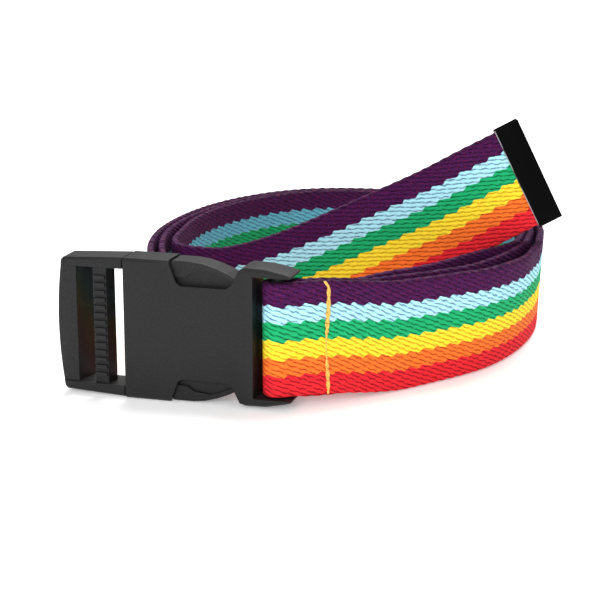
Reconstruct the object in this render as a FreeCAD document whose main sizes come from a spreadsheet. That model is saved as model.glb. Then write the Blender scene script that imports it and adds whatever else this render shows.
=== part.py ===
import FreeCAD, Part

import math
import os

import Sketcher
from FreeCAD import Placement, Rotation, Vector

# A luggage strap: 38 mm webbing with a side-release buckle, coiled and standing on its edge.
# The strap's lower edge lies at z = 0. The buckle's long axis lies along X, its front faces -Y.
# Buckle parts are drawn about the buckle's own middle: X from a line just inside the insert's
# outer end, Y from the middle of the thickness and Z from the middle of the height.

DRIVING_SIZES = (
    # where the buckle and the coil stand
    ("datum_x", -73.92),
    ("datum_y", -94.26),
    ("buckle_half_thick", 6.2),
    ("buckle_mid_height", 23.3),
    # webbing
    ("web_width", 37.8),
    ("web_thick", 2.5),
    ("web_lift", 3.7),
    ("layer_gap", 0.3),
    # receiver
    ("mouth_x", 22.5),
    ("receiver_half_high", 23.3),
    ("notch_start_x", 37.9),
    ("notch_floor_x", 41.4),
    ("notch_floor_z", 15.4),
    ("notch_end_x", 58.0),
    ("arm_start_x", 62.4),
    ("arm_half_high", 22.6),
    ("arm_end_x", 78.3),
    ("arm_tip_half_high", 21.2),
    ("slot_x", 65.9),
    ("slot_half_high", 19.9),
    ("plate", 1.4),
    ("cavity_half_high", 21.7),
    ("cavity_end_x", 63.4),
    ("tip_pocket_z", 19.4),
    ("guide_z", 3.9),
    ("guide_wide", 1.2),
    ("receiver_chamfer", 0.9),
    ("bar_x", 72.6),
    ("bar_radius", 2.3),
    ("bar_clearance", 0.3),
    # insert
    ("rail_end_x", 22.2),
    ("rail_half_high", 23.25),
    ("rail_left_half_high", 22.2),
    ("insert_left_x", 0.6),
    ("insert_bulge_radius", 140.0),
    ("insert_thick", 10.4),
    ("window_x", 5.6),
    ("window_half_high", 19.5),
    ("outer_bar_setback", 0.8),
    ("outer_bar_slope", 1.8),
    ("base_x", 23.2),
    ("base_end_x", 26.5),
    ("base_half_high", 21.4),
    ("core_thick", 9.0),
    ("ladder_x", 11.6),
    ("ladder_wide", 4.5),
    ("ladder_slope", 0.8),
    ("ladder_thick", 5.4),
    ("ladder_front_y", -4.5),
    ("rib_wide", 1.2),
    ("rib_proud", 0.9),
    ("rib_pitch", 2.5),
    ("rib_count", 14),
    ("tongue_half_high", 3.4),
    ("tongue_end_x", 57.5),
    ("tongue_thick", 7.2),
    # release prongs
    ("prong_root_z", 13.6),
    ("prong_arm", 2.6),
    ("shoulder_x", 38.4),
    ("prong_out_z", 23.2),
    ("prong_tip_x", 61.0),
    ("panel_depth", 1.0),
    ("prong_round", 0.7),
    # strap end tip
    ("tip_long", 9.2),
    ("tip_wide", 39.0),
    ("tip_wall", 0.6),
    ("tip_edge", 0.5),
    # seam
    ("seam_wide", 1.1),
    ("seam_proud", 0.45),
    ("seam_gap", 0.15),
    ("seam_high", 35.6),
)

# Middle of the webbing's lower edge in plan, then its outward lean in degrees.
OUTER_TURN = (
    (85.5, 11.2, 0.0),
    (95.6, 20.4, 0.5),
    (106.2, 32.4, 1.5),
    (116.6, 45.9, 4.5),
    (126.9, 61.1, 8.0),
    (133.7, 79.2, 9.0),
    (137.1, 98.0, 6.0),
    (137.9, 116.5, 3.0),
    (135.2, 138.0, 1.0),
    (126.0, 158.8, 0.0),
    (107.4, 176.9, 0.0),
    (82.0, 186.2, 0.0),
    (56.0, 186.4, 0.0),
    (34.2, 179.4, 0.0),
    (18.1, 163.4, 0.0),
    (8.8, 145.1, 0.0),
    (3.7, 125.6, 0.0),
    (1.9, 105.0, 0.0),
    (3.0, 84.2, 0.0),
    (7.1, 65.5, 0.0),
    (12.6, 50.6, 0.0),
    (21.0, 37.2, 0.0),
)
# The pass behind the buckle that starts the middle turn.
BEHIND_BUCKLE = (
    (32.0, 26.8, 0.0),
    (45.0, 19.8, 0.0),
    (57.0, 16.6, 0.0),
    (68.0, 15.9, 0.0),
    (77.0, 17.2, 0.0),
    (85.4, 21.6, 0.0),
    (93.4, 28.2, 0.0),
)
# From its third point the outer turn is followed again: how far inside it, and the lean.
MIDDLE_TURN = (
    (6.5, 0.5),
    (4.6, 2.0),
    (4.4, 4.0),
    (4.6, 4.5),
    (3.3, 3.5),
    (2.9, 1.5),
    (2.9, 0.0),
    (2.9, 0.0),
    (2.9, 0.0),
    (2.9, 0.0),
    (2.9, 0.0),
    (2.9, 0.0),
    (2.9, 0.0),
    (2.9, 0.0),
    (2.9, 0.0),
    (2.9, 0.0),
    (3.2, 0.0),
    (3.8, 0.0),
    (4.1, 0.0),
    (3.6, 0.0),
)
INNER_TURN = (
    (11.4, 0.0),
    (11.6, 1.0),
    (13.2, 1.5),
    (12.0, 2.0),
    (7.0, 3.2),
    (5.8, 1.5),
    (5.8, 0.0),
    (5.8, 0.0),
    (5.8, 0.0),
    (5.8, 0.0),
    (5.8, 0.0),
    (5.8, 0.0),
    (5.8, 0.0),
    (5.8, 0.0),
    (5.9, 0.0),
)
# Where the inner turn leaves the others and bends round into the free end.
LAST_BEND = (
    (8.4, 110.5, 0.0),
    (9.2, 98.0, 0.0),
    (10.9, 86.4, 0.0),
    (12.6, 76.0, 0.0),
    (16.0, 67.0, 0.0),
    (21.6, 61.8, 0.0),
)
# Middle of the free end: plan place and height above the ground.
FREE_END = (
    (31.6, 60.4, 18.9),
    (39.5, 62.9, 19.5),
    (50.5, 68.8, 21.9),
    (64.5, 76.1, 26.8),
    (75.9, 81.1, 31.7),
    (87.8, 85.8, 37.2),
    (101.2, 90.4, 43.4),
    (111.3, 93.8, 48.5),
    (121.0, 97.2, 53.9),
    (131.2, 101.1, 59.3),
    (139.6, 104.3, 63.8),
)

FRONT_HEADING = 40.0  # degrees from X, where the strap leaves the web bar
TAIL_HEADING = 10.0  # degrees from X, where the sewn tail leaves it
NEXT_LAYER = 2.9  # from one layer's middle line to the next where they touch
STATION = 7.0  # spacing of the webbing's cross-sections
SEAM_PLACE = 14.2  # from the web bar along the front layer
TAIL_LENGTH = 36.0
TAIL_EASE = 6.0
LIFT_ENDS = 46.0  # the strap has come down to the ground this far from the web bar
LIFT_HOLDS = 8.0


class Size:
    """A length in millimetres with the expression that ties it to the sheet."""

    def __init__(self, value, text):
        self.value = value
        self.text = text

    def __add__(self, other):
        return Size(self.value + number(other), f"({self.text} + {words(other)})")

    def __sub__(self, other):
        return Size(self.value - number(other), f"({self.text} - {words(other)})")

    def __mul__(self, factor):
        return Size(self.value * factor, f"({self.text} * {factor!r})")

    def __neg__(self):
        return self * -1.0


def number(size):
    return size.value if isinstance(size, Size) else float(size)


def words(size):
    return size.text if isinstance(size, Size) else repr(float(size))


class Sizes:
    """The driving dimensions, by name."""


def make_sheet(doc):
    sheet = doc.addObject("Spreadsheet::Sheet", "Sizes")
    named = Sizes()
    for row, (alias, value) in enumerate(DRIVING_SIZES, start=1):
        sheet.set(f"A{row}", alias)
        sheet.set(f"B{row}", str(value))
        sheet.setAlias(f"B{row}", alias)
        setattr(named, alias, Size(value, f"Sizes.{alias}"))
    doc.recompute()
    return named


# ---------------------------------------------------------------- sketch and feature helpers


def new_body(doc, label, x, y, z):
    body = doc.addObject("PartDesign::Body", label)
    body.Label = label
    for axis, size in (("x", x), ("y", y), ("z", z)):
        body.setExpression(f"Placement.Base.{axis}", words(size))
    return body


def buckle_body(doc, s, label):
    return new_body(doc, label, s.datum_x, s.datum_y + s.buckle_half_thick, s.buckle_mid_height)


def new_sketch(body, name, role, offset=0.0):
    sketch = body.newObject("Sketcher::SketchObject", name)
    plane = [item for item in body.Origin.OriginFeatures if item.Role == role][0]
    sketch.AttachmentSupport = [(plane, "")]
    sketch.MapMode = "FlatFace"
    sketch.setExpression("AttachmentOffset.Base.z", words(offset))
    return sketch


def front_sketch(body, name, y=0.0):
    """A sketch seen from the front: X across, Z up, at depth y. Its pads grow towards -Y."""
    return new_sketch(body, name, "XZ_Plane", Size(-number(y), f"(-1 * {words(y)})"))


def pin(sketch, item, end, x, y):
    """Ties one point of a sketch item to two sheet expressions."""
    for kind, size in (("DistanceX", x), ("DistanceY", y)):
        index = sketch.addConstraint(Sketcher.Constraint(kind, -1, 1, item, end, number(size)))
        if isinstance(size, Size):
            sketch.setExpression(f"Constraints[{index}]", size.text)


def outline(sketch, points, arcs=()):
    """A closed outline through pinned points. arcs maps an edge's number to its radius."""
    arcs = dict(arcs)
    corners = [Vector(number(x), number(y), 0) for x, y in points]
    items = []
    for i, start in enumerate(corners):
        end = corners[(i + 1) % len(corners)]
        if i in arcs:
            items.append(add_arc(sketch, start, end, arcs[i]))
        else:
            items.append((sketch.addGeometry(Part.LineSegment(start, end)), 1, 2))
    for i, (item, _, finish) in enumerate(items):
        after, begin, _ = items[(i + 1) % len(items)]
        sketch.addConstraint(Sketcher.Constraint("Coincident", item, finish, after, begin))
    for (item, begin, _), (x, y) in zip(items, points):
        pin(sketch, item, begin, x, y)


def add_arc(sketch, start, end, radius):
    """An arc that bulges to the left of the way from start to end.

    A sketch keeps its arcs anticlockwise, so this one is drawn from end to start.
    """
    chord = end - start
    side = Vector(-chord.y, chord.x, 0).normalize()
    rise = radius.value - math.sqrt(radius.value**2 - (chord.Length / 2) ** 2)
    middle = (start + end) * 0.5 + side * rise
    item = sketch.addGeometry(Part.Arc(end, middle, start))
    index = sketch.addConstraint(Sketcher.Constraint("Radius", item, radius.value))
    sketch.setExpression(f"Constraints[{index}]", radius.text)
    return item, 2, 1


def mirrored(points):
    """An outline's upper half, closed by the same points below the middle in reverse."""
    return list(points) + [(x, -z) for x, z in reversed(points)]


def pad(body, sketch, length, name, symmetric=True, forward=True):
    feature = body.newObject("PartDesign::Pad", name)
    feature.Profile = sketch
    feature.SideType = "Symmetric" if symmetric else "One side"
    feature.Reversed = not forward
    feature.setExpression("Length", words(length))
    return feature


def pocket(body, sketch, length, name, symmetric=True, forward=True):
    feature = body.newObject("PartDesign::Pocket", name)
    feature.Profile = sketch
    feature.SideType = "Symmetric" if symmetric else "One side"
    feature.Reversed = not forward
    feature.setExpression("Length", words(length))
    return feature


def dress(body, kind, base, test, size, name):
    """A chamfer or fillet on every edge of base that the test picks."""
    body.Document.recompute()
    picked = [f"Edge{i}" for i, edge in enumerate(base.Shape.Edges, start=1) if test(edge)]
    feature = body.newObject(f"PartDesign::{kind}", name)
    feature.Base = (base, picked)
    feature.setExpression("Radius" if kind == "Fillet" else "Size", words(size))
    return feature


def at_depth(edge, depth):
    """True for an edge that lies in the front or back face, at +-depth in Y."""
    box = edge.BoundBox
    flat = box.YLength < 1e-4
    return flat and abs(abs(box.YMin) - depth) < 1e-4


# ---------------------------------------------------------------- receiver


def receiver_outline(s):
    return mirrored(
        (
            (s.mouth_x, s.receiver_half_high),
            (s.notch_start_x, s.receiver_half_high),
            (s.notch_start_x + 2.7, s.notch_floor_z + 0.9),
            (s.notch_floor_x + 0.6, s.notch_floor_z),
            (s.notch_end_x - 1.0, s.notch_floor_z),
            (s.notch_end_x + 0.9, s.notch_floor_z + 1.3),
            (s.arm_start_x - 1.0, s.arm_half_high - 0.9),
            (s.arm_start_x + 0.8, s.arm_half_high),
            (s.slot_x + 4.0, s.arm_half_high - 0.2),
            (s.arm_end_x - 2.4, s.arm_tip_half_high),
            (s.arm_end_x, s.slot_half_high + 0.6),
            (s.arm_end_x, s.slot_half_high),
            (s.slot_x, s.slot_half_high),
        )
    )


def make_receiver(doc, s):
    body = buckle_body(doc, s, "receiver_housing")
    shape = front_sketch(body, "receiver_profile")
    outline(shape, receiver_outline(s))
    shell = pad(body, shape, s.buckle_half_thick * 2, "receiver_block")
    dress(
        body,
        "Chamfer",
        shell,
        lambda edge: at_depth(edge, s.buckle_half_thick.value) and long_side(edge, s),
        s.receiver_chamfer,
        "long_edges",
    )
    doc.recompute()
    cavity = front_sketch(body, "cavity_profile")
    outline(
        cavity,
        mirrored(
            (
                (s.mouth_x - 1.0, s.cavity_half_high),
                (s.notch_start_x - 0.2, s.cavity_half_high),
                (s.notch_start_x - 0.2, s.receiver_half_high + 1.0),
                (s.notch_end_x - 1.0, s.receiver_half_high + 1.0),
                (s.notch_end_x + 1.5, s.tip_pocket_z),
                (s.cavity_end_x - 1.1, s.tip_pocket_z),
                (s.cavity_end_x, s.tip_pocket_z - 2.4),
            )
        ),
    )
    pocket(body, cavity, (s.buckle_half_thick - s.plate) * 2, "cavity")
    add_guides(body, s)
    return body


def long_side(edge, s):
    """The long outer edges of the body and the arms, top and bottom."""
    middle = edge.BoundBox.Center
    return edge.Length > 4.0 and abs(middle.z) > s.arm_tip_half_high.value


def add_guides(body, s):
    """Four ribs inside the front and back plates keep the centre tongue in line."""
    for name, side in (("front", -1), ("back", 1)):
        for level, up in (("upper", 1), ("lower", -1)):
            plate_face = (s.buckle_half_thick - s.plate) * side
            profile = new_sketch(body, f"{name}_{level}_guide_profile", "XY_Plane", s.guide_z * up)
            near = plate_face + 0.3 * side
            far = plate_face - 0.9 * side
            outline(
                profile,
                (
                    (s.mouth_x + 6.0, near),
                    (s.cavity_end_x + 0.4, near),
                    (s.cavity_end_x + 0.4, far),
                    (s.mouth_x + 6.0, far),
                ),
            )
            pad(body, profile, s.guide_wide, f"{name}_{level}_guide", False, up > 0)


def make_web_bar(doc, s):
    bar = doc.addObject("Part::Cylinder", "receiver_web_bar")
    bar.Label = "receiver_web_bar"
    bar.setExpression("Radius", s.bar_radius.text)
    bar.setExpression("Height", (s.slot_half_high * 2).text)
    bar.setExpression("Placement.Base.x", (s.datum_x + s.bar_x).text)
    bar.setExpression("Placement.Base.y", (s.datum_y + s.buckle_half_thick).text)
    bar.setExpression("Placement.Base.z", (s.buckle_mid_height - s.slot_half_high).text)
    return bar


# ---------------------------------------------------------------- insert


def make_insert_frame(doc, s):
    body = buckle_body(doc, s, "insert_frame")
    profile = front_sketch(body, "frame_profile")
    outline(
        profile,
        mirrored(
            (
                (s.insert_left_x, s.rail_left_half_high - 0.9),
                (s.insert_left_x + 0.9, s.rail_left_half_high),
                (s.rail_end_x, s.rail_half_high),
            )
        ),
        {5: s.insert_bulge_radius},
    )
    block = pad(body, profile, s.insert_thick, "frame_block")
    dress(
        body,
        "Chamfer",
        block,
        lambda edge: at_depth(edge, s.insert_thick.value / 2) and edge.BoundBox.XMax < 22.3,
        0.6,
        "frame_edges",
    )
    doc.recompute()
    window = front_sketch(body, "window_profile")
    outline(
        window,
        mirrored(((s.window_x, s.window_half_high), (s.rail_end_x + 1.0, s.window_half_high))),
    )
    pocket(body, window, s.insert_thick * 1.5, "window")
    set_back_outer_bar(body, s)
    add_base(body, s)
    return body


def set_back_outer_bar(body, s):
    """The outer bar stands behind the rails' front, and its inner side slopes back."""
    face = front_sketch(body, "bar_face_profile", s.insert_thick * -0.5)
    outline(face, mirrored(((-3.0, s.window_half_high), (s.window_x + 1.0, s.window_half_high))))
    pocket(body, face, s.outer_bar_setback, "bar_face", False, True)
    slope = new_sketch(body, "bar_slope_profile", "XY_Plane")
    back = s.insert_thick * 0.5
    outline(
        slope,
        (
            (s.window_x - 0.4, s.outer_bar_setback - back),
            (s.window_x, s.outer_bar_setback - back),
            (s.window_x + s.outer_bar_slope, back),
            (s.window_x - 0.4, back),
        ),
    )
    pad(body, slope, s.window_half_high * 2 + 0.4, "bar_slope")


def add_base(body, s):
    """The part of the insert inside the receiver: two shoulders joined by a cross bar."""
    base = front_sketch(body, "base_profile")
    top = s.base_half_high
    outline(
        base,
        (
            (s.rail_end_x - 0.8, top),
            (s.base_end_x, top),
            (s.base_end_x, -top),
            (s.rail_end_x - 0.8, -top),
            (s.rail_end_x - 0.8, -s.window_half_high),
            (s.base_x, -s.window_half_high),
            (s.base_x, s.window_half_high),
            (s.rail_end_x - 0.8, s.window_half_high),
        ),
    )
    pad(body, base, s.core_thick, "base")


def make_ladder_bar(doc, s):
    body = buckle_body(doc, s, "insert_ladder_bar")
    section = new_sketch(body, "bar_section", "XY_Plane")
    front = s.ladder_front_y
    back = s.ladder_front_y + s.ladder_thick
    outline(
        section,
        (
            (s.ladder_x, front),
            (s.ladder_x + s.ladder_wide, front),
            (s.ladder_x + s.ladder_wide + s.ladder_slope, back),
            (s.ladder_x + 0.3, back),
        ),
    )
    pad(body, section, s.window_half_high * 2, "bar")
    rib = front_sketch(body, "rib_profile", s.ladder_front_y + 0.2)
    low = s.rib_pitch * (-0.5 * (s.rib_count.value - 1)) - s.rib_wide * 0.5
    outline(
        rib,
        (
            (s.ladder_x + 0.3, low),
            (s.ladder_x + s.ladder_wide - 0.3, low),
            (s.ladder_x + s.ladder_wide - 0.3, low + s.rib_wide),
            (s.ladder_x + 0.3, low + s.rib_wide),
        ),
    )
    first = pad(body, rib, s.rib_proud + 0.2, "rib", False, True)
    body.Document.recompute()
    ribs = body.newObject("PartDesign::LinearPattern", "ribs")
    ribs.Originals = [first]
    ribs.Direction = (rib, ["V_Axis"])
    ribs.setExpression("Length", f"{s.rib_pitch.text} * ({s.rib_count.text} - 1)")
    ribs.setExpression("Occurrences", s.rib_count.text)
    body.Tip = ribs
    return body


def make_guide_tongue(doc, s):
    body = buckle_body(doc, s, "insert_guide_tongue")
    profile = front_sketch(body, "tongue_profile")
    outline(
        profile,
        mirrored(
            (
                (s.base_end_x, s.tongue_half_high),
                (s.tongue_end_x - 4.0, s.tongue_half_high - 0.3),
                (s.tongue_end_x, s.tongue_half_high - 1.8),
            )
        ),
    )
    block = pad(body, profile, s.tongue_thick, "tongue")
    dress(
        body,
        "Chamfer",
        block,
        lambda edge: at_depth(edge, s.tongue_thick.value / 2) and edge.BoundBox.XMin > 26.6,
        0.5,
        "tongue_edges",
    )
    return body


def prong_outline(s, side):
    """The arm from the base, then the button with its catching shoulder and rounded tip."""
    arm_out = s.prong_root_z + s.prong_arm
    points = (
        (s.base_end_x, s.prong_root_z),
        (s.base_end_x, arm_out),
        (s.shoulder_x - 1.4, arm_out),
        (s.shoulder_x, arm_out + 1.2),
        (s.shoulder_x, s.prong_out_z - 0.3),
        (s.shoulder_x + 0.5, s.prong_out_z),
        (s.shoulder_x + 6.6, s.prong_out_z - 0.05),
        (s.shoulder_x + 10.6, s.prong_out_z - 0.5),
        (s.shoulder_x + 14.6, s.prong_out_z - 1.6),
        (s.shoulder_x + 18.6, s.prong_out_z - 3.2),
        (s.prong_tip_x - 0.7, s.prong_out_z - 5.0),
        (s.prong_tip_x, s.prong_out_z - 6.4),
        (s.prong_tip_x - 1.4, s.prong_out_z - 8.0),
        (s.prong_tip_x - 6.0, s.prong_root_z - 0.1),
        (s.shoulder_x + 3.0, s.prong_root_z - 1.6),
        (s.shoulder_x - 2.0, s.prong_root_z),
    )
    return points if side > 0 else [(x, -z) for x, z in reversed(points)]


def panel_outline(s, side):
    """The scooped finger panel below the button's outer band."""
    points = (
        (s.shoulder_x + 1.2, s.notch_floor_z - 1.0),
        (s.shoulder_x + 1.2, s.prong_out_z - 5.3),
        (s.shoulder_x + 4.6, s.prong_out_z - 5.2),
        (s.shoulder_x + 7.0, s.prong_out_z - 3.6),
        (s.shoulder_x + 12.6, s.prong_out_z - 2.9),
        (s.shoulder_x + 15.2, s.prong_out_z - 3.6),
        (s.shoulder_x + 20.6, s.prong_out_z - 5.9),
        (s.prong_tip_x - 1.4, s.notch_floor_z - 0.6),
    )
    return points if side > 0 else [(x, -z) for x, z in reversed(points)]


def make_prong(doc, s, label, side):
    body = buckle_body(doc, s, label)
    profile = front_sketch(body, "prong_profile")
    outline(profile, prong_outline(s, side))
    block = pad(body, profile, s.core_thick, "prong")
    dress(
        body,
        "Fillet",
        block,
        lambda edge: at_depth(edge, s.core_thick.value / 2) and outer_band(edge, s),
        s.prong_round,
        "button_rounds",
    )
    doc.recompute()
    for name, face, forward in (
        ("front_panel", s.core_thick * -0.5, True),
        ("back_panel", s.core_thick * 0.5, False),
    ):
        panel = front_sketch(body, f"{name}_profile", face)
        outline(panel, panel_outline(s, side))
        pocket(body, panel, s.panel_depth, name, False, forward)
    return body


def outer_band(edge, s):
    """The button's outer edges, from just past the shoulder to the tip."""
    box = edge.BoundBox
    outside = min(abs(box.ZMin), abs(box.ZMax)) > s.prong_out_z.value - 5.2
    return outside and box.XMin > s.shoulder_x.value + 0.1


# ---------------------------------------------------------------- webbing


class Route:
    """The webbing's middle line as a smooth curve, measured by its length.

    It sets off along start, a vector 1 long, and ends along its last two points.
    """

    def __init__(self, points, start, leans=None):
        curve = Part.BSplineCurve()
        end = (points[-1] - points[-2]).normalize()
        curve.interpolate(Points=points, InitialTangent=start, FinalTangent=end, Scale=False)
        self.curve = curve
        self.length = curve.length()
        self.places = [self.place_of(point) for point in points]
        self.leans = leans or [0.0] * len(points)

    def place_of(self, point):
        return self.curve.length(self.curve.FirstParameter, self.curve.parameter(point))

    def point(self, place):
        return self.curve.value(self.curve.parameterAtDistance(place))

    def heading(self, place):
        tangent = self.curve.tangent(self.curve.parameterAtDistance(place))[0]
        return tangent.normalize()

    def lean(self, place):
        """The outward lean in degrees, eased between the route's points."""
        knots = list(zip(self.places, self.leans))
        for (start, first), (end, last) in zip(knots, knots[1:]):
            if start <= place <= end:
                along = (place - start) / (end - start)
                return first + (last - first) * along * along * (3 - 2 * along)
        return knots[-1][1]


def turned(angle):
    return Vector(math.cos(math.radians(angle)), math.sin(math.radians(angle)), 0)


def bar_centre(s):
    return Vector(s.bar_x.value, s.buckle_half_thick.value, 0)


def loop_radius(s):
    return s.bar_radius.value + s.bar_clearance.value + s.web_thick.value / 2


def inside(points, gaps):
    """Points moved towards the coil's middle, each by its own gap; the first and last are only
    neighbours that give the direction."""
    moved = []
    for before, (x, y, _), after, (gap, lean) in zip(points, points[1:], points[2:], gaps):
        ahead = Vector(after[0] - before[0], after[1] - before[1], 0).normalize()
        moved.append((x - ahead.y * gap, y + ahead.x * gap, lean))
    return tuple(moved)


def lift(place, s):
    """Height of the webbing's lower edge, from the buckle down to the ground."""
    span = LIFT_ENDS - LIFT_HOLDS
    along = min(max((place - LIFT_HOLDS) / span, 0.0), 1.0)
    return s.web_lift.value * (1 - along * along * (3 - 2 * along))


def section(middle, across, upward, s):
    """The webbing's rectangular cross-section at one place, as a closed wire."""
    half = across * (s.web_thick.value / 2)
    rise = upward * (s.web_width.value / 2)
    corners = [
        middle + half + rise,
        middle - half + rise,
        middle - half - rise,
        middle + half - rise,
    ]
    return Part.makePolygon(corners + corners[:1])


def stations(first, last):
    count = max(2, round((last - first) / STATION))
    return [first + (last - first) * i / count for i in range(count + 1)]


def ribbon(route, first, last, s, lower_edge):
    """A stretch of webbing on its edge between two places on its route."""
    wires = []
    for place in stations(first, last):
        ahead = route.heading(place)
        outward = Vector(ahead.y, -ahead.x, 0)
        lean = math.radians(route.lean(place))
        upward = Vector(0, 0, math.cos(lean)) + outward * math.sin(lean)
        across = outward * math.cos(lean) - Vector(0, 0, math.sin(lean))
        lowest = lower_edge(place) + s.web_thick.value / 2 * math.sin(lean)
        middle = route.point(place) + Vector(0, 0, lowest) + upward * (s.web_width.value / 2)
        wires.append(section(middle, across, upward, s))
    return Part.makeLoft(wires, True, True)


def free_ribbon(route, first, last, s):
    """The free end: its width stays square to its rising middle line."""
    wires = []
    for place in stations(first, last):
        ahead = route.heading(place)
        across = Vector(ahead.y, -ahead.x, 0).normalize()
        wires.append(section(route.point(place), across, across.cross(ahead), s))
    return Part.makeLoft(wires, True, True)


def bar_loop(s):
    """The fold round the web bar, from the sewn tail to the front layer."""
    inner = s.bar_radius.value + s.bar_clearance.value
    outer = inner + s.web_thick.value
    centre = bar_centre(s)
    first = turned(FRONT_HEADING - 90)
    last = turned(TAIL_HEADING + 90)
    middle = turned((FRONT_HEADING + TAIL_HEADING) / 2 + 180)
    far = Part.Arc(centre + first * outer, centre + middle * outer, centre + last * outer)
    near = Part.Arc(centre + last * inner, centre + middle * inner, centre + first * inner)
    edges = [
        far.toShape(),
        Part.makeLine(centre + last * outer, centre + last * inner),
        near.toShape(),
        Part.makeLine(centre + first * inner, centre + first * outer),
    ]
    face = Part.Face(Part.Wire(Part.__sortEdges__(edges)))
    return face.extrude(Vector(0, 0, s.web_width.value)).translated(Vector(0, 0, s.web_lift.value))


def coil_points():
    """Every point of the coil in order, with its lean: three turns, each inside the last."""
    followed = OUTER_TURN[1:] + BEHIND_BUCKLE[:1]
    behind = OUTER_TURN[-1:] + BEHIND_BUCKLE + OUTER_TURN[2:3]
    points = OUTER_TURN + BEHIND_BUCKLE
    points += inside(followed, MIDDLE_TURN)
    points += inside(behind, [(NEXT_LAYER, 0.0)] * len(BEHIND_BUCKLE))
    points += inside(followed, INNER_TURN)
    return points + LAST_BEND


def strap_route(s):
    start = bar_centre(s) + turned(FRONT_HEADING - 90) * loop_radius(s)
    coil = coil_points()
    points = [start] + [Vector(x, y, 0) for x, y, _ in coil]
    points.append(Vector(FREE_END[0][0], FREE_END[0][1], 0))
    leans = [0.0] + [lean for _, _, lean in coil] + [0.0]
    return Route(points, turned(FRONT_HEADING), leans)


def tail_route(s, strap):
    """The sewn-back tail: off the bar, then against the inside of the front layer."""
    start = bar_centre(s) + turned(TAIL_HEADING + 90) * loop_radius(s)
    apart = s.web_thick.value + s.layer_gap.value
    points = [start]
    place = SEAM_PLACE - TAIL_EASE
    while place <= TAIL_LENGTH + 4:
        ahead = strap.heading(place)
        points.append(strap.point(place) + Vector(-ahead.y, ahead.x, 0) * apart)
        place += 5.0
    return Route(points, turned(TAIL_HEADING))


def webbing_solids(s):
    strap = strap_route(s)
    tail = tail_route(s, strap)
    free = free_route(s, strap)
    solids = {}
    corners = [0, 5, 9, 15, 21, 33, 37, 43, 49, 60, 64, 70]
    places = [strap.places[i] for i in corners] + [strap.length]
    sides = ("front", "right", "back", "left")
    names = [f"webbing_{turn}_{side}" for turn in ("outer", "middle", "inner") for side in sides]
    for name, first, last in zip(names, places, places[1:]):
        solids[name] = ribbon(strap, first, last, s, lambda place: lift(place, s))
    solids["webbing_bar_loop"] = bar_loop(s)
    solids["webbing_sewn_tail"] = ribbon(tail, 0.0, TAIL_LENGTH, s, lambda place: lift(place, s))
    solids["webbing_free_end"] = free_ribbon(free, 0.0, free.length, s)
    print(f"webbing length {loop_length(s) + TAIL_LENGTH + strap.length + free.length:.0f} mm")
    return solids, strap, free


def free_route(s, strap):
    points = [Vector(x, y, z) for x, y, z in FREE_END]
    points[0].z = s.web_width.value / 2
    return Route(points, strap.heading(strap.length))


def loop_length(s):
    return math.radians(180 + FRONT_HEADING - TAIL_HEADING) * loop_radius(s)


def shape_object(doc, s, label, shape):
    """A soft or sewn piece whose shape no parametric feature makes."""
    item = doc.addObject("Part::Feature", label)
    item.Label = label
    item.Shape = shape
    item.setExpression("Placement.Base.x", s.datum_x.text)
    item.setExpression("Placement.Base.y", s.datum_y.text)
    return item


def make_seam(doc, s, strap):
    """The bartack: one band of thread up the front layer and one up the tail's inside."""
    here = strap.point(SEAM_PLACE)
    ahead = strap.heading(SEAM_PLACE)
    outward = Vector(ahead.y, -ahead.x, 0)
    low = lift(SEAM_PLACE, s) + (s.web_width.value - s.seam_high.value) / 2
    front = s.web_thick.value / 2 + s.seam_gap.value
    back = -(1.5 * s.web_thick.value + s.layer_gap.value + s.seam_gap.value)
    bands = []
    for near, far in ((front, front + s.seam_proud.value), (back - s.seam_proud.value, back)):
        corners = []
        for along, out in ((-0.5, near), (0.5, near), (0.5, far), (-0.5, far)):
            step = ahead * (along * s.seam_wide.value) + outward * out
            corners.append(here + step + Vector(0, 0, low))
        face = Part.Face(Part.makePolygon(corners + corners[:1]))
        bands.append(face.extrude(Vector(0, 0, s.seam_high.value)))
    return shape_object(doc, s, "seam_stitching", Part.makeCompound(bands))


def make_tip(doc, s, free):
    """The folded metal clip over the free end: a U in section, open towards the webbing."""
    ahead = free.heading(free.length)
    across = Vector(ahead.y, -ahead.x, 0).normalize()
    end = free.point(free.length)
    back = s.tip_long - s.tip_wall - 0.1
    origin = end - ahead * back.value
    body = doc.addObject("PartDesign::Body", "strap_end_tip")
    body.Label = "strap_end_tip"
    turn = Rotation(ahead, across.cross(ahead).cross(ahead) * -1, across.cross(ahead), "XZY")
    body.Placement = Placement(origin, turn)
    body.setExpression("Placement.Base.x", (s.datum_x + origin.x).text)
    body.setExpression("Placement.Base.y", (s.datum_y + origin.y).text)
    section_sketch = new_sketch(body, "clip_section", "XY_Plane")
    near = s.web_thick * 0.5 + 0.03
    outer = near + s.tip_wall
    far = s.tip_long
    outline(
        section_sketch,
        (
            (0.0, near),
            (0.0, outer),
            (far, outer),
            (far, -outer),
            (0.0, -outer),
            (0.0, -near),
            (far - s.tip_wall, -near),
            (far - s.tip_wall, near),
        ),
    )
    clip = pad(body, section_sketch, s.tip_wide, "clip")
    dress(
        body,
        "Fillet",
        clip,
        lambda edge: tip_fold(edge, s),
        s.tip_edge,
        "fold_rounds",
    )
    return body


def tip_fold(edge, s):
    """The two outer edges of the fold."""
    box = edge.BoundBox
    half = s.web_thick.value * 0.5 + 0.03 + s.tip_wall.value
    upright = box.XLength < 1e-4 and box.YLength < 1e-4
    return upright and abs(box.XMin - s.tip_long.value) < 1e-4 and abs(abs(box.YMin) - half) < 1e-3


# ---------------------------------------------------------------- checks and export


def check_document(doc):
    for item in doc.Objects:
        if "Invalid" in item.State or "Error" in item.State:
            raise RuntimeError(f"{item.Label} failed: {item.State}")


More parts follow.
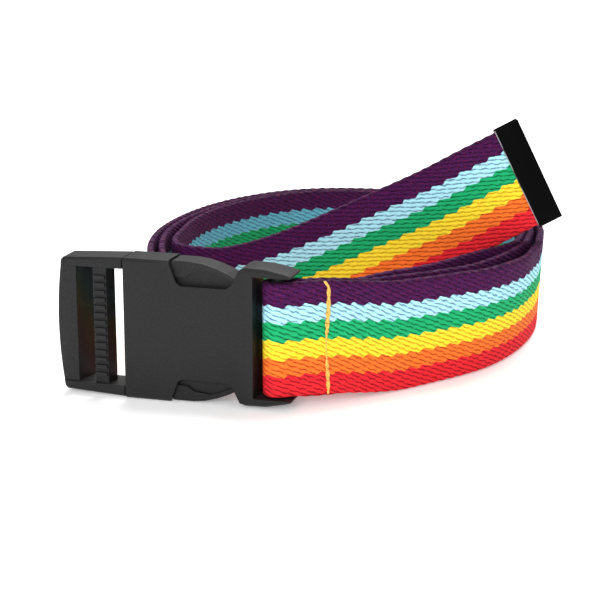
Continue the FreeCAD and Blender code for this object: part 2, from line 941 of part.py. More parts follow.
def check_shape(item):
    shape = item.Shape
    if shape.isNull() or not shape.isValid() or shape.Volume <= 0:
        raise RuntimeError(f"{item.Label} has no valid shape")


def export(items):
    os.makedirs("parts", exist_ok=True)
    for item in items:
        item.Shape.exportStep(f"parts/{item.Label}.step")


def build():
    doc = FreeCAD.newDocument("luggage_strap")
    s = make_sheet(doc)
    items = [make_receiver(doc, s), make_web_bar(doc, s)]
    items += [make_insert_frame(doc, s), make_ladder_bar(doc, s), make_guide_tongue(doc, s)]
    items.append(make_prong(doc, s, "release_prong_upper", 1))
    items.append(make_prong(doc, s, "release_prong_lower", -1))
    solids, strap, free = webbing_solids(s)
    items += [shape_object(doc, s, name, solid) for name, solid in solids.items()]
    items += [make_seam(doc, s, strap), make_tip(doc, s, free)]
    doc.recompute()
    check_document(doc)
    for item in items:
        check_shape(item)
    export(items)
    return items


def report(items):
    whole = FreeCAD.BoundBox()
    for item in items:
        whole.add(item.Shape.BoundBox)
        print(f"{item.Label}: {item.Shape.Volume:.0f} mm3, {len(item.Shape.Solids)} solid")
    print(whole)


report(build())
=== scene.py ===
import math

import bmesh
import bpy
import numpy as np
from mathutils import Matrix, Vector


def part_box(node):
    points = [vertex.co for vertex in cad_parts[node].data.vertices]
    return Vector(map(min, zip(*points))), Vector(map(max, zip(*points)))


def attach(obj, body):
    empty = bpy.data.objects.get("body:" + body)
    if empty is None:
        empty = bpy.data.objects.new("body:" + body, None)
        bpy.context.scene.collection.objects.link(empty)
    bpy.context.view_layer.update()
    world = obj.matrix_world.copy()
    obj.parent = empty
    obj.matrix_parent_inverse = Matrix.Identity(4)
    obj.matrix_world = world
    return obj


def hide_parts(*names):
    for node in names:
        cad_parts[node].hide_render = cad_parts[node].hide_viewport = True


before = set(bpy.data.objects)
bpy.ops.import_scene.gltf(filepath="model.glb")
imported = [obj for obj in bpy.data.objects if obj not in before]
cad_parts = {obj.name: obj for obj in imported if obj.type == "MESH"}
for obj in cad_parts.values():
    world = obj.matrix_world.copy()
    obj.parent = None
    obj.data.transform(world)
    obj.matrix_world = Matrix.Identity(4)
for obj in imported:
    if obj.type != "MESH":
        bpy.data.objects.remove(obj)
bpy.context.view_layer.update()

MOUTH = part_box("receiver_housing")[0]
# Just inside the buckle's outer end, its front face and the ground: every measure starts here.
MOUTH_X = 0.0225
DATUM = Vector((MOUTH.x - MOUTH_X, MOUTH.y, 0.0))

# ---------------------------------------------------------------- the webbing's route, in mm

WIDTH, THICK = 37.8, 2.5
CLIP_REACH = 8.5  # how far the end clip's mouth lies behind the webbing's end
BAR = (72.6, 6.2)
LOOP_RADIUS = 3.85
FRONT_HEADING, TAIL_HEADING = 40.0, 10.0
TAIL_LENGTH, TAIL_GAP, TAIL_JOINS = 36.0, 0.3, 8
LIFT, LIFT_HOLDS, LIFT_ENDS = 3.7, 8.0, 46.0
SPACING, LOOP_STEPS = 0.8, 20
NEXT_LAYER = 2.9  # from one layer's middle line to the next where they touch

# Middle of the webbing's lower edge in plan, then its outward lean in degrees.
OUTER_TURN = (
    (85.5, 11.2, 0.0), (95.6, 20.4, 0.5), (106.2, 32.4, 1.5), (116.6, 45.9, 4.5),
    (126.9, 61.1, 8.0), (133.7, 79.2, 9.0), (137.1, 98.0, 6.0), (137.9, 116.5, 3.0),
    (135.2, 138.0, 1.0), (126.0, 158.8, 0.0), (107.4, 176.9, 0.0), (82.0, 186.2, 0.0),
    (56.0, 186.4, 0.0), (34.2, 179.4, 0.0), (18.1, 163.4, 0.0), (8.8, 145.1, 0.0),
    (3.7, 125.6, 0.0), (1.9, 105.0, 0.0), (3.0, 84.2, 0.0), (7.1, 65.5, 0.0), (12.6, 50.6, 0.0),
    (21.0, 37.2, 0.0),
)
# The pass behind the buckle that starts the middle turn.
BEHIND_BUCKLE = (
    (32.0, 26.8, 0.0), (45.0, 19.8, 0.0), (57.0, 16.6, 0.0), (68.0, 15.9, 0.0), (77.0, 17.2, 0.0),
    (85.4, 21.6, 0.0), (93.4, 28.2, 0.0),
)
# From its third point the outer turn is followed again: how far inside it, and the lean.
MIDDLE_TURN = (
    (6.5, 0.5), (4.6, 2.0), (4.4, 4.0), (4.6, 4.5), (3.3, 3.5), (2.9, 1.5), (2.9, 0.0),
    (2.9, 0.0), (2.9, 0.0), (2.9, 0.0), (2.9, 0.0), (2.9, 0.0), (2.9, 0.0), (2.9, 0.0),
    (2.9, 0.0), (2.9, 0.0), (3.2, 0.0), (3.8, 0.0), (4.1, 0.0), (3.6, 0.0),
)
INNER_TURN = (
    (11.4, 0.0), (11.6, 1.0), (13.2, 1.5), (12.0, 2.0), (7.0, 3.2), (5.8, 1.5), (5.8, 0.0),
    (5.8, 0.0), (5.8, 0.0), (5.8, 0.0), (5.8, 0.0), (5.8, 0.0), (5.8, 0.0), (5.8, 0.0),
    (5.9, 0.0),
)
# Where the inner turn leaves the others and bends round into the free end.
LAST_BEND = (
    (8.4, 110.5, 0.0), (9.2, 98.0, 0.0), (10.9, 86.4, 0.0), (12.6, 76.0, 0.0), (16.0, 67.0, 0.0),
    (21.6, 61.8, 0.0),
)
# Middle of the free end: plan place and height above the ground.
FREE_END = (
    (31.6, 60.4, 18.9), (39.5, 62.9, 19.5), (50.5, 68.8, 21.9), (64.5, 76.1, 26.8),
    (75.9, 81.1, 31.7), (87.8, 85.8, 37.2), (101.2, 90.4, 43.4), (111.3, 93.8, 48.5),
    (121.0, 97.2, 53.9), (131.2, 101.1, 59.3), (139.6, 104.3, 63.8),
)


def heading(angle):
    return np.array([math.cos(math.radians(angle)), math.sin(math.radians(angle)), 0.0])


def unit(vectors):
    return vectors / np.linalg.norm(vectors, axis=-1, keepdims=True)


def smooth_line(points, first, last, steps=24):
    """A smooth curve through the points with given end directions, as closely spaced points."""
    points = np.array(points, float)
    spans = np.linalg.norm(np.diff(points, axis=0), axis=1)
    count = len(points)
    system = np.eye(count)
    wanted = np.zeros_like(points)
    wanted[0], wanted[-1] = first, last
    for i in range(1, count - 1):
        before, after = spans[i - 1], spans[i]
        system[i, i - 1 : i + 2] = after, 2 * (before + after), before
        back = (points[i] - points[i - 1]) / before * after
        wanted[i] = 3 * (back + (points[i + 1] - points[i]) / after * before)
    slopes = np.linalg.solve(system, wanted)
    t = np.linspace(0, 1, steps, endpoint=False)[:, None]
    pieces = []
    for i, span in enumerate(spans):
        a, b, c, d = points[i], points[i + 1], slopes[i] * span, slopes[i + 1] * span
        ends = a * (1 + 2 * t) * (1 - t) ** 2 + b * t**2 * (3 - 2 * t)
        pieces.append(ends + c * t * (1 - t) ** 2 + d * t**2 * (t - 1))
    return np.vstack(pieces + [points[-1:]])


def lengths(line):
    return np.concatenate([[0], np.cumsum(np.linalg.norm(np.diff(line, axis=0), axis=1))])


def evenly(line, spacing):
    along = lengths(line)
    places = np.linspace(0, along[-1], max(2, round(along[-1] / spacing)) + 1)
    return np.column_stack([np.interp(places, along, line[:, i]) for i in range(3)])


def eased(places, knots, values):
    """A value at each place, eased from knot to knot."""
    i = np.clip(np.searchsorted(knots, places, side="right") - 1, 0, len(knots) - 2)
    along = np.clip((places - knots[i]) / (knots[i + 1] - knots[i]), 0, 1)
    return values[i] + (values[i + 1] - values[i]) * along * along * (3 - 2 * along)


def inside(points, gaps):
    """Points moved towards the coil's middle, each by its own gap; the first and last are only
    neighbours that give the direction."""
    moved = []
    for before, (x, y, _), after, (gap, lean) in zip(points, points[1:], points[2:], gaps):
        dx, dy = after[0] - before[0], after[1] - before[1]
        step = math.hypot(dx, dy)
        moved.append((x - dy / step * gap, y + dx / step * gap, lean))
    return tuple(moved)


def coil_points():
    """Every point of the coil in order, with its lean: three turns, each inside the last."""
    followed = OUTER_TURN[1:] + BEHIND_BUCKLE[:1]
    behind = OUTER_TURN[-1:] + BEHIND_BUCKLE + OUTER_TURN[2:3]
    points = OUTER_TURN + BEHIND_BUCKLE
    points += inside(followed, MIDDLE_TURN)
    points += inside(behind, [(NEXT_LAYER, 0.0)] * len(BEHIND_BUCKLE))
    points += inside(followed, INNER_TURN)
    return points + LAST_BEND


def stood_up(line, leans):
    """The webbing's middle line above its lower edge's plan line, lifted near the buckle."""
    ahead = unit(np.gradient(line, axis=0))
    lean = np.radians(leans)
    span = np.clip((lengths(line) - LIFT_HOLDS) / (LIFT_ENDS - LIFT_HOLDS), 0, 1)
    lowest = LIFT * (1 - span * span * (3 - 2 * span)) + THICK / 2 * np.sin(lean)
    middle = line.copy()
    middle[:, 0] += ahead[:, 1] * np.sin(lean) * WIDTH / 2
    middle[:, 1] -= ahead[:, 0] * np.sin(lean) * WIDTH / 2
    middle[:, 2] = lowest + np.cos(lean) * WIDTH / 2
    return middle


def tail_line(strap):
    """The sewn-back tail: off the bar, then against the inside of the front layer."""
    front = evenly(strap, 1.0)
    ahead = unit(np.gradient(front, axis=0))
    inward = np.column_stack([-ahead[:, 1], ahead[:, 0], ahead[:, 2]])
    beside = front + inward * (THICK + TAIL_GAP)
    start = np.array([*BAR, 0.0]) + heading(TAIL_HEADING + 90) * LOOP_RADIUS
    joins = range(TAIL_JOINS, int(TAIL_LENGTH) + 5, 5)
    points = [start] + [beside[i] for i in joins]
    tail = evenly(smooth_line(points, heading(TAIL_HEADING), ahead[joins[-1]]), SPACING)
    return tail[: round(TAIL_LENGTH / SPACING) + 1]


def smooth_strap():
    """The plan line from the web bar to the free end's start, 24 steps from point to point."""
    start = np.array([*BAR, 0.0]) + heading(FRONT_HEADING - 90) * LOOP_RADIUS
    points = [start] + [np.array([x, y, 0.0]) for x, y, _ in coil_points()]
    points.append(np.array([FREE_END[0][0], FREE_END[0][1], 0.0]))
    return smooth_line(points, heading(FRONT_HEADING), unit(points[-1] - points[-2]))


def webbing_line():
    """Middle line and lean from the sewn tail, round the web bar and the coil, to the free end,
    and how many of its points stand upright."""
    bar = np.array([*BAR, 0.0])
    drawn = smooth_strap()
    knots = lengths(drawn)[::24]
    strap = evenly(drawn, SPACING)
    coil_leans = [lean for _, _, lean in coil_points()]
    leans = eased(lengths(strap), knots, np.array([0.0] + coil_leans + [0.0]))
    tail = tail_line(drawn)
    turn = np.radians(np.linspace(TAIL_HEADING + 90, FRONT_HEADING + 270, LOOP_STEPS + 2)[1:-1])
    loop = bar + LOOP_RADIUS * np.column_stack([np.cos(turn), np.sin(turn), turn * 0])
    loop[:, 2] = LIFT + WIDTH / 2
    finish = unit(np.array(FREE_END[-1]) - np.array(FREE_END[-2]))
    ahead = unit(drawn[-1] - drawn[-2])
    free = evenly(smooth_line(FREE_END, ahead, finish), SPACING)
    standing = stood_up(strap, leans)
    middle = np.vstack([stood_up(tail, tail[:, 0] * 0)[::-1], loop, standing[:-1], free])
    before = len(tail) + len(loop)
    upright = before + len(standing) - 1
    return middle, np.concatenate([np.zeros(before), leans[:-1], np.zeros(len(free))]), upright


def webbing_frames():
    """Middle, across and upward directions along the whole webbing."""
    middle, leans, upright = webbing_line()
    ahead = np.gradient(middle, axis=0)
    ahead[:upright, 2] = 0.0
    ahead = unit(ahead)
    level = unit(np.column_stack([ahead[:, 1], -ahead[:, 0], ahead[:, 2] * 0]))
    square = np.cross(level, ahead)
    lean = np.radians(leans)[:, None]
    upward = square * np.cos(lean) + level * np.sin(lean)
    return middle, level * np.cos(lean) - square * np.sin(lean), upward


# ---------------------------------------------------------------- mesh helpers


def add_piece(name, mesh, material, body, smooth=True):
    piece = bpy.data.objects.new(name, mesh)
    bpy.context.scene.collection.objects.link(piece)
    mesh.materials.append(material)
    if smooth:
        mesh.polygons.foreach_set("use_smooth", [True] * len(mesh.polygons))
    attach(piece, body)
    return piece


def tube_mesh(name, line, radius, sides=8):
    """A round thread along a line of points, in metres, with its radius at each point."""
    radius = np.array(radius)[:, None]
    ahead = np.gradient(line, axis=0)
    ahead /= np.linalg.norm(ahead, axis=1)[:, None]
    side = np.cross(ahead, [0.0, 0.0, 1.0])
    weak = np.linalg.norm(side, axis=1) < 0.2
    side[weak] = np.cross(ahead[weak], [1.0, 0.0, 0.0])
    side /= np.linalg.norm(side, axis=1)[:, None]
    other = np.cross(side, ahead)
    angles = np.linspace(0, 2 * math.pi, sides, endpoint=False)
    rings = [line + radius * (math.cos(a) * side + math.sin(a) * other) for a in angles]
    verts = np.stack(rings, axis=1).reshape(-1, 3)
    faces = []
    for i in range(len(line) - 1):
        for k in range(sides):
            n = (k + 1) % sides
            faces.append((i * sides + k, i * sides + n, (i + 1) * sides + n, (i + 1) * sides + k))
    faces.append(tuple(range(sides))[::-1])
    faces.append(tuple((len(line) - 1) * sides + k for k in range(sides)))
    mesh = bpy.data.meshes.new(name)
    mesh.from_pydata(verts.tolist(), [], faces)
    return mesh


# ---------------------------------------------------------------- materials


class Nodes:
    """Short calls that add shader nodes to one material."""

    def __init__(self, name):
        self.material = bpy.data.materials.new(name)
        self.material.use_nodes = True
        self.tree = self.material.node_tree
        self.tree.nodes.clear()

    def node(self, kind, inputs=(), **settings):
        made = self.tree.nodes.new(kind)
        for key, value in settings.items():
            setattr(made, key, value)
        for key, value in dict(inputs).items():
            self.feed(made.inputs[key], value)
        return made

    def feed(self, socket, value):
        if isinstance(value, bpy.types.NodeSocket):
            self.tree.links.new(value, socket)
        else:
            socket.default_value = value

    def math(self, operation, *values, clamp=False):
        made = self.node("ShaderNodeMath", enumerate(values), operation=operation, use_clamp=clamp)
        return made.outputs[0]

    def ease(self, value, low, high):
        """0 below low, 1 above high, smooth between."""
        made = self.node(
            "ShaderNodeMapRange",
            {"Value": value, "From Min": low, "From Max": high},
            interpolation_type="SMOOTHSTEP",
        )
        return made.outputs["Result"]

    def mix(self, factor, a, b, blend="MIX"):
        made = self.node("ShaderNodeMix", data_type="RGBA", blend_type=blend)
        self.feed(made.inputs[0], factor)
        self.feed(made.inputs[6], a)
        self.feed(made.inputs[7], b)
        return made.outputs[2]

    def noise(self, vector, scale, detail=2.0, roughness=0.5):
        made = self.node(
            "ShaderNodeTexNoise",
            {"Vector": vector, "Scale": scale, "Detail": detail, "Roughness": roughness},
        )
        return made.outputs["Fac"]

    def combine(self, x, y, z=0.0):
        return self.node("ShaderNodeCombineXYZ", {"X": x, "Y": y, "Z": z}).outputs[0]

    def ramp(self, value, stops, interpolation="CONSTANT"):
        made = self.node("ShaderNodeValToRGB", {"Fac": value})
        made.color_ramp.interpolation = interpolation
        elements = made.color_ramp.elements
        while len(elements) < len(stops):
            elements.new(0.5)
        for element, (place, colour) in zip(elements, stops):
            element.position = place
            element.color = colour
        return made.outputs[0]

    def surface(self, inputs, height=None, distance=0.0002, strength=1.0):
        shader = self.node("ShaderNodeBsdfPrincipled", inputs)
        if height is not None:
            bump = self.node(
                "ShaderNodeBump", {"Height": height, "Distance": distance, "Strength": strength}
            )
            self.tree.links.new(bump.outputs["Normal"], shader.inputs["Normal"])
        output = self.node("ShaderNodeOutputMaterial")
        self.tree.links.new(shader.outputs[0], output.inputs["Surface"])
        return self.material


def srgb(red, green, blue):
    """A colour given as screen values from 0 to 255."""

    def linear(value):
        value /= 255
        return value / 12.92 if value <= 0.04045 else ((value + 0.055) / 1.055) ** 2.4

    return (linear(red), linear(green), linear(blue), 1.0)


LIGHT_BLUE_FROM, LIGHT_BLUE_TO = 0.203, 0.345
# From the top edge down: where each stripe starts, its yarn and the shade between yarns.
STRIPES = (
    (0.000, srgb(66, 17, 68), srgb(28, 5, 32)),
    (LIGHT_BLUE_FROM, srgb(172, 230, 246), srgb(84, 122, 160)),
    (LIGHT_BLUE_TO, srgb(28, 170, 106), srgb(4, 88, 52)),
    (0.501, srgb(255, 222, 54), srgb(232, 168, 24)),
    (0.660, srgb(253, 118, 44), srgb(206, 62, 22)),
    (0.808, srgb(234, 40, 50), srgb(154, 10, 32)),
)
TWILL_ANGLE, RIB_PITCH = 23.0, 1.5
FLOAT_LENGTH, FLOAT_STAGGER = 4.2, 0.41
WEAVE_RELIEF = 0.00042  # metres
STEP_LENGTH, STEP_HEIGHT = 5.6, 0.45
SWELL_PERIOD = 4.1


def weave_rows(n, signed, down, along):
    """The ribs that run down across the strap: (across them, along them, rib number, crown)."""
    cos, sin = math.cos(math.radians(TWILL_ANGLE)), math.sin(math.radians(TWILL_ANGLE))
    slow = n.combine(n.math("MULTIPLY", along, 0.16), n.math("MULTIPLY", down, 0.6))
    wander = n.math("MULTIPLY", n.math("SUBTRACT", n.noise(slow, 1.0), 0.5), 0.9)
    across = n.math("SUBTRACT", n.math("MULTIPLY", down, cos), n.math("MULTIPLY", signed, sin))
    across = n.math("ADD", across, wander)
    swing = n.math("SINE", n.math("MULTIPLY", signed, 4 * math.pi / STEP_LENGTH))
    across = n.math("ADD", across, n.math("MULTIPLY", swing, 0.09))
    rows = n.math("DIVIDE", across, RIB_PITCH)
    crown = n.math("SINE", n.math("MULTIPLY", n.math("FRACT", rows), math.pi))
    lengthwise = n.math("ADD", n.math("MULTIPLY", signed, cos), n.math("MULTIPLY", down, sin))
    return across, lengthwise, n.math("FLOOR", rows), crown


def stripe_level(n, signed, down, crown):
    """Depth below the top edge as a fraction, waved where the stripes' borders follow the ribs."""
    turn = n.math("MULTIPLY", signed, 2 * math.pi / STEP_LENGTH)
    skew = n.math("MULTIPLY", n.math("SINE", n.math("MULTIPLY", turn, 2.0)), 0.35)
    step = n.math("MULTIPLY", n.math("ADD", n.math("SINE", turn), skew), STEP_HEIGHT)
    ripple = n.math("MULTIPLY", n.math("SUBTRACT", crown, 0.5), 0.15)
    edge = n.math("ADD", down, n.math("ADD", step, ripple))
    return n.math("DIVIDE", edge, WIDTH)


def weave_floats(n, along, lengthwise, row, crown):
    """Each rib is a row of short floats: (place along its float, darkness of the gap beside it,
    painted as shade).
    """
    shift = n.noise(n.combine(n.math("MULTIPLY", row, 7.3), n.math("MULTIPLY", along, 0.03)), 1.0)
    stagger = n.math("MULTIPLY", row, FLOAT_STAGGER)
    floats = n.math("ADD", n.math("DIVIDE", lengthwise, FLOAT_LENGTH), stagger)
    floats = n.math("FRACT", n.math("ADD", floats, n.math("MULTIPLY", shift, 0.5)))
    dash = n.math("MULTIPLY", n.ease(floats, 0.0, 0.16), n.ease(floats, 0.62, 0.40))
    gap = n.math("SUBTRACT", 1.0, n.ease(crown, 0.20, 0.80))
    return floats, n.math("MULTIPLY", gap, n.math("MAXIMUM", dash, 0.04))


def weave_tone(n, down, inner, crown, fibre, soft):
    """Brightness of the cloth from random fibre and patch tone, with a painted highlight on the
    ribs' crowns; painted shade makes it lower along its top edge and on its reverse side.
    """
    tone = n.math("ADD", n.math("MULTIPLY", fibre, 0.44), n.math("MULTIPLY", soft, 0.16))
    # painted highlight: each rib lighter at its crown and darker towards its grooves
    tone = n.math("ADD", tone, n.math("MULTIPLY", crown, 0.24))
    tone = n.math("ADD", tone, 0.51)
    # painted shade: the cloth darker along its top edge, fading out 1.5 mm down
    top_edge_shade = n.math("ADD", 0.55, n.math("MULTIPLY", n.ease(down, 0.3, 1.5), 0.45))
    # painted shade: the reverse side a third darker, standing in for the shade inside the coil
    reverse = n.math("SUBTRACT", 1.0, n.math("MULTIPLY", inner, 0.34))
    tone = n.math("MULTIPLY", tone, n.math("MULTIPLY", top_edge_shade, reverse))
    return n.node("ShaderNodeCombineColor", {0: tone, 1: tone, 2: tone}).outputs[0]


def stripe_colour(n, level, inner, dark):
    """The stripes' yarns and the painted shade in the gaps between them; on the reverse side the
    light blue is painted a darker teal, as shade.
    """
    yarn_colour = n.ramp(level, [(place, light) for place, light, _ in STRIPES])
    gap_shade_colour = n.ramp(level, [(place, shade) for place, _, shade in STRIPES])
    below = n.math("GREATER_THAN", level, LIGHT_BLUE_FROM)
    light_blue = n.math("MULTIPLY", below, n.math("LESS_THAN", level, LIGHT_BLUE_TO))
    # painted shade: the light-blue stripe on the reverse side pulled towards a darker teal, for the
    # shade inside the coil
    reverse_blue_shade = n.math("MULTIPLY", n.math("MULTIPLY", light_blue, inner), 0.75)
    yarn_colour = n.mix(reverse_blue_shade, yarn_colour, srgb(70, 178, 206))
    # painted shade in the gaps between floats
    return n.mix(dark, yarn_colour, gap_shade_colour)


def stray_fibres(n, colour, level, lengthwise, across):
    """Red and violet fibres show in the dark stripe."""
    flecks = n.combine(n.math("MULTIPLY", lengthwise, 0.9), n.math("MULTIPLY", across, 2.6), 7.0)
    fleck = n.noise(flecks, 1.0, 2.0)
    dark_stripe = n.math("LESS_THAN", level, LIGHT_BLUE_FROM)
    red = n.math("MULTIPLY", n.ease(fleck, 0.54, 0.68), dark_stripe)
    colour = n.mix(n.math("MULTIPLY", red, 0.55), colour, srgb(132, 30, 74))
    violet = n.math("MULTIPLY", n.ease(fleck, 0.46, 0.36), dark_stripe)
    return n.mix(n.math("MULTIPLY", violet, 0.25), colour, srgb(92, 52, 138))


def weave_height(n, floats, crown, fibre, dark):
    """Ribs that swell at the middle of each float, roughened by their fibres."""
    body = n.math("SINE", n.math("MULTIPLY", floats, math.pi))
    height = n.math("MULTIPLY", crown, n.math("ADD", n.math("MULTIPLY", body, 0.5), 0.35))
    height = n.math("ADD", height, n.math("MULTIPLY", fibre, 0.3))
    height = n.math("ADD", height, n.math("MULTIPLY", body, 0.15))
    return n.math("SUBTRACT", height, n.math("MULTIPLY", dark, 0.3))


def webbing_material():
    n = Nodes("webbing_weave")
    uv = n.node("ShaderNodeUVMap", uv_map="weave").outputs[0]
    split = n.node("ShaderNodeSeparateXYZ", {"Vector": uv})
    along = n.math("MULTIPLY", split.outputs[0], 1000.0)
    rise = n.math("PINGPONG", split.outputs[1], 1.0)
    down = n.math("MULTIPLY", n.math("SUBTRACT", 1.0, rise), WIDTH)
    inner = n.math("GREATER_THAN", split.outputs[1], 1.0)
    flip = n.math("SUBTRACT", 1.0, n.math("MULTIPLY", inner, 2.0))
    signed = n.math("MULTIPLY", along, flip)
    across, lengthwise, row, crown = weave_rows(n, signed, down, along)
    level = stripe_level(n, signed, down, crown)
    floats, dark = weave_floats(n, along, lengthwise, row, crown)

    fine = n.combine(n.math("MULTIPLY", lengthwise, 0.8), n.math("MULTIPLY", across, 4.2))
    fibre = n.noise(fine, 1.0, 3.0, 0.62)
    coarse = n.combine(n.math("MULTIPLY", along, 0.22), n.math("MULTIPLY", down, 0.3))
    soft = n.noise(coarse, 1.0)
    tone = weave_tone(n, down, inner, crown, fibre, soft)
    colour = n.mix(1.0, stripe_colour(n, level, inner, dark), tone, "MULTIPLY")
    colour = stray_fibres(n, colour, level, lengthwise, across)

    # painted highlight: a pale, patchy line on the very edge, where the rounded edge catches the
    # light
    rim_highlight = n.math("MULTIPLY", n.ease(down, 0.42, 0.08), n.ease(soft, 0.36, 0.6))
    colour = n.mix(n.math("MULTIPLY", rim_highlight, 0.12), colour, srgb(140, 110, 136))
    cloth = {"Base Color": colour, "Roughness": 0.86, "Specular IOR Level": 0.12}
    return n.surface(cloth, weave_height(n, floats, crown, fibre, dark), WEAVE_RELIEF)


def plastic_material():
    n = Nodes("buckle_grain")
    place = n.node("ShaderNodeTexCoord").outputs["Object"]
    grain = n.noise(place, 2600.0, 3.0, 0.65)
    broad = n.noise(place, 60.0, 2.0)
    rough = n.math("ADD", n.math("MULTIPLY", broad, 0.10), 0.42)
    colour = n.mix(n.ease(grain, 0.3, 0.7), srgb(20, 20, 21), srgb(34, 34, 35))
    plastic = {"Base Color": colour, "Roughness": rough, "Specular IOR Level": 0.20}
    return n.surface(plastic, grain, 0.00010, 0.6)


def tip_material():
    n = Nodes("black_enamel")
    place = n.node("ShaderNodeTexCoord").outputs["Object"]
    broad = n.noise(place, 90.0, 3.0)
    fine = n.noise(place, 2600.0, 2.0)
    rough = n.math("ADD", n.math("MULTIPLY", broad, 0.14), 0.20)
    colour = n.mix(broad, srgb(4, 4, 5), srgb(10, 10, 11))
    # painted highlight: a bright grey line, broken in places, along the cut edge at the clip's
    # mouth
    end, before = Vector(FREE_END[-1]), Vector(FREE_END[-2])
    ahead = (end - before).normalized()
    mouth = DATUM + (end - ahead * CLIP_REACH) / 1000
    beyond = n.node("ShaderNodeVectorMath", {0: place, 1: tuple(mouth)}, operation="SUBTRACT")
    beyond = n.node(
        "ShaderNodeVectorMath", {0: beyond.outputs[0], 1: tuple(ahead)}, operation="DOT_PRODUCT"
    )
    near_mouth = n.ease(beyond.outputs["Value"], 0.00032, 0.00012)
    # painted highlight along the mouth's edge
    mouth_highlight = n.math("MULTIPLY", near_mouth, n.ease(broad, 0.38, 0.5))
    colour = n.mix(mouth_highlight, colour, srgb(176, 176, 178))
    enamel = {"Base Color": colour, "Roughness": rough, "Specular IOR Level": 0.02}
    return n.surface(enamel, fine, 0.00003, 0.4)


def thread_material():
    n = Nodes("golden_thread")
    place = n.node("ShaderNodeTexCoord").outputs["Object"]
    twist = n.node(
        "ShaderNodeTexWave",
        {"Vector": place, "Scale": 620.0, "Distortion": 2.0, "Detail": 1.0},
        bands_direction="DIAGONAL",
    ).outputs["Fac"]
    colour = n.mix(twist, srgb(232, 150, 40), srgb(255, 206, 96))
    thread = {"Base Color": colour, "Roughness": 0.6, "Sheen Weight": 0.2}
    return n.surface(thread, twist, 0.0001, 0.7)


def floor_material():
    n = Nodes("studio_floor")
    place = n.node("ShaderNodeTexCoord").outputs["Object"]
    colour = n.mix(n.noise(place, 3.0), (0.93, 0.93, 0.93, 1.0), (0.95, 0.95, 0.95, 1.0))
    paper = {"Base Color": colour, "Roughness": 0.7, "Specular IOR Level": 0.1}
    paper["Emission Color"] = (1.0, 1.0, 1.0, 1.0)
    paper["Emission Strength"] = 0.26
    return n.surface(paper)


# ---------------------------------------------------------------- the webbing

COLUMNS = 14
EDGE = 1.1


def strip_section():
    """One cross-section: (rise across the width, height off the middle, v) from the lower edge
    up the outer face and back down the inner face."""
    rises = np.linspace(-WIDTH / 2, WIDTH / 2, COLUMNS + 1)
    close = np.array([0.1, 0.35, 0.7])
    rises = np.unique(np.concatenate([rises, -WIDTH / 2 + close, WIDTH / 2 - close]))
    over = np.clip((np.abs(rises) - (WIDTH / 2 - EDGE)) / EDGE, 0, 1)
    out = THICK / 2 * np.sqrt(1 - over**2)
    v = (rises + WIDTH / 2) / WIDTH
    outer = list(zip(rises, out, v))
    inner = [(rise, -off, 2 - at) for rise, off, at in outer[-2:0:-1]]
    return np.array(outer + inner)


def webbing_mesh():
    middle, across, upward = webbing_frames()
    along = lengths(middle)
    section = strip_section()
    # the woven edges bulge a little at each turn of the weft
    swell = 0.12 * np.sin(2 * math.pi * along / SWELL_PERIOD)
    verts, count = [], len(section)
    for rise, off, _ in section:
        near_edge = np.clip((abs(rise) - WIDTH / 2 + 1.2) / 1.2, 0, 1) * np.sign(rise)
        verts.append(middle + across * off + upward * (rise + near_edge * (swell - 0.12))[:, None])
    verts = np.stack(verts, axis=1)
    faces, uvs = [], []
    places = np.append(section[:, 2], 2.0)
    metres = along / 1000
    for i in range(len(middle) - 1):
        for k in range(count):
            n = (k + 1) % count
            faces.append((i * count + k, (i + 1) * count + k, (i + 1) * count + n, i * count + n))
            uvs += [(metres[i], places[k]), (metres[i + 1], places[k])]
            uvs += [(metres[i + 1], places[k + 1]), (metres[i], places[k + 1])]
    for i, order in ((0, 1), (len(middle) - 1, -1)):
        faces.append(tuple(i * count + k for k in range(count))[::order])
        uvs += [(metres[i], section[k, 2]) for k in range(count)][::order]
    mesh = bpy.data.meshes.new("webbing")
    mesh.from_pydata((verts.reshape(-1, 3) / 1000 + np.array(DATUM)).tolist(), [], faces)
    layer = mesh.uv_layers.new(name="weave")
    layer.data.foreach_set("uv", np.array(uvs, np.float32).ravel())
    return mesh, metres[-1]


def make_webbing():
    mesh, length = webbing_mesh()
    piece = add_piece("webbing", mesh, webbing_material(), "strap")
    stretches = [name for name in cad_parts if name.startswith("webbing_")]
    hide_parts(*stretches)
    return piece


# ---------------------------------------------------------------- seam, buckle and clip

SEAM_PLACE = 14.2
# Down the seam from the top edge: (depth as a fraction of the width, thread radius, strands apart).
SEAM_RUN = (
    (0.000, 0.22, 0.20),
    (0.050, 0.34, 0.26),
    (0.200, 0.42, 0.34),
    (0.300, 0.44, 0.34),
    (0.440, 0.40, 0.30),
    (0.475, 0.24, 0.10),
    (0.560, 0.20, 0.02),
    (0.650, 0.16, 0.02),
    (0.700, 0.26, 0.16),
    (0.780, 0.40, 0.32),
    (0.880, 0.42, 0.30),
    (0.970, 0.34, 0.22),
    (1.000, 0.20, 0.12),
)


def seam_strand(name, side, phase):
    """One strand of the seam on one face of the sewn layers, twisting about its partner."""
    middle, across, upward = webbing_frames()
    drawn = tail_line(smooth_strap())
    index = len(drawn) + LOOP_STEPS + round(SEAM_PLACE / SPACING)
    here, out, up = middle[index], across[index], upward[index]
    ahead = np.cross(up, out)
    depth = np.linspace(0.0, 1.0, 110)
    table = np.array(SEAM_RUN)
    radius = np.interp(depth, table[:, 0], table[:, 1])
    apart = np.interp(depth, table[:, 0], table[:, 2])
    turn = depth * 2 * math.pi * 5.5 + phase
    drift = 0.35 * np.sin(depth * 7.0 + 0.8) - 1.3 * np.clip(0.05 - depth, 0, 1) / 0.05
    face = THICK / 2 if side > 0 else -(1.5 * THICK + TAIL_GAP)
    proud = face + side * (radius * 0.25 + apart * 0.6 * (1 + np.sin(turn)))
    along = drift + apart * np.cos(turn)
    rise = WIDTH * (0.5 - depth) * 0.985
    line = here + np.outer(rise, up) + np.outer(proud, out) + np.outer(along, ahead)
    return tube_mesh(name, line / 1000 + np.array(DATUM), radius / 1000)


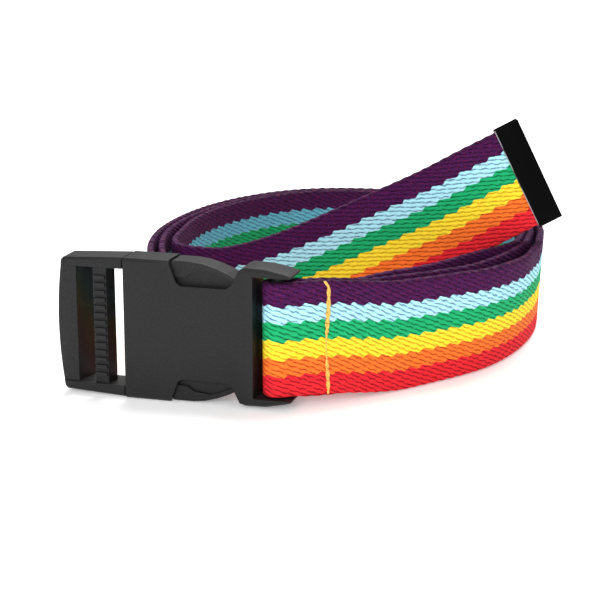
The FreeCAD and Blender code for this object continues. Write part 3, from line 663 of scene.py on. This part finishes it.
def soften(node, width, material, body):
    """A copy of a CAD node whose hard edges are rounded by width, in metres."""
    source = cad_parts[node]
    mesh = source.data.copy()
    mesh.transform(source.matrix_world)
    mesh.materials.clear()
    made = bmesh.new()
    made.from_mesh(mesh)
    bmesh.ops.remove_doubles(made, verts=made.verts, dist=2e-6)
    bmesh.ops.dissolve_limit(
        made, angle_limit=math.radians(1.0), verts=made.verts, edges=made.edges
    )
    made.to_mesh(mesh)
    made.free()
    piece = add_piece(node + "_moulded", mesh, material, body)
    bevel = piece.modifiers.new("rounded_edges", "BEVEL")
    bevel.width = width
    bevel.segments = 3
    bevel.limit_method = "ANGLE"
    bevel.angle_limit = math.radians(32)
    bevel.use_clamp_overlap = True
    bevel.harden_normals = True
    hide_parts(node)
    return piece


def make_seam():
    thread = thread_material()
    for label, side in (("outer", 1), ("inner", -1)):
        for strand, phase in (("a", 0.0), ("b", math.pi)):
            name = f"seam_thread_{label}_{strand}"
            piece = add_piece(name, seam_strand(name, side, phase), thread, "strap")
            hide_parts("seam_stitching")


def make_buckle():
    plastic = plastic_material()
    softened = (
        ("receiver_housing", 0.0006, "receiver"),
        ("insert_frame", 0.0006, "insert"),
        ("insert_ladder_bar", 0.0003, "insert"),
    )
    for node, width, body in softened:
        soften(node, width, plastic, body)
    plain = (
        "receiver_web_bar", "insert_guide_tongue", "release_prong_upper", "release_prong_lower"
    )
    for node in plain:
        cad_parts[node].material_slots[0].material = plastic


# ---------------------------------------------------------------- camera, floor and lights


def add_camera():
    data = bpy.data.cameras.new("camera")
    data.lens = 96.6
    data.sensor_width = 36.0
    camera = bpy.data.objects.new("camera", data)
    camera.location = DATUM + Vector((0.2146, -0.4643, 0.1620))
    camera.rotation_euler = (math.radians(75.5), 0.0, math.radians(16.0))
    bpy.context.scene.collection.objects.link(camera)
    bpy.context.scene.camera = camera


def add_area(name, place, target, size, power):
    data = bpy.data.lights.new(name, "AREA")
    data.shape = "DISK"
    data.size = size
    data.energy = power
    light = bpy.data.objects.new(name, data)
    light.location = place
    light.rotation_euler = (Vector(target) - Vector(place)).to_track_quat("-Z", "Y").to_euler()
    bpy.context.scene.collection.objects.link(light)


def add_studio():
    mesh = bpy.data.meshes.new("floor")
    reach = 6.0
    corners = [(-reach, -reach, 0), (reach, -reach, 0), (reach, reach, 0), (-reach, reach, 0)]
    mesh.from_pydata(corners, [], [(0, 1, 2, 3)])
    mesh.materials.append(floor_material())
    floor = bpy.data.objects.new("floor", mesh)
    floor.location.z = -0.0002
    bpy.context.scene.collection.objects.link(floor)
    world = bpy.data.worlds.new("studio")
    world.use_nodes = True
    world.node_tree.nodes["Background"].inputs[0].default_value = (1.0, 1.0, 1.0, 1.0)
    world.node_tree.nodes["Background"].inputs[1].default_value = 0.55
    bpy.context.scene.world = world
    add_area("key", (0.0, -1.4, 0.6), (0, 0, 0), 0.8, 12.5)
    add_area("top", (0.0, 0.6, 1.3), (0, 0, 0), 1.0, 25.0)
    bpy.context.scene.view_settings.view_transform = "Standard"


add_camera()
make_webbing()
make_seam()
make_buckle()
soften("strap_end_tip", 0.00022, tip_material(), "strap")
add_studio()
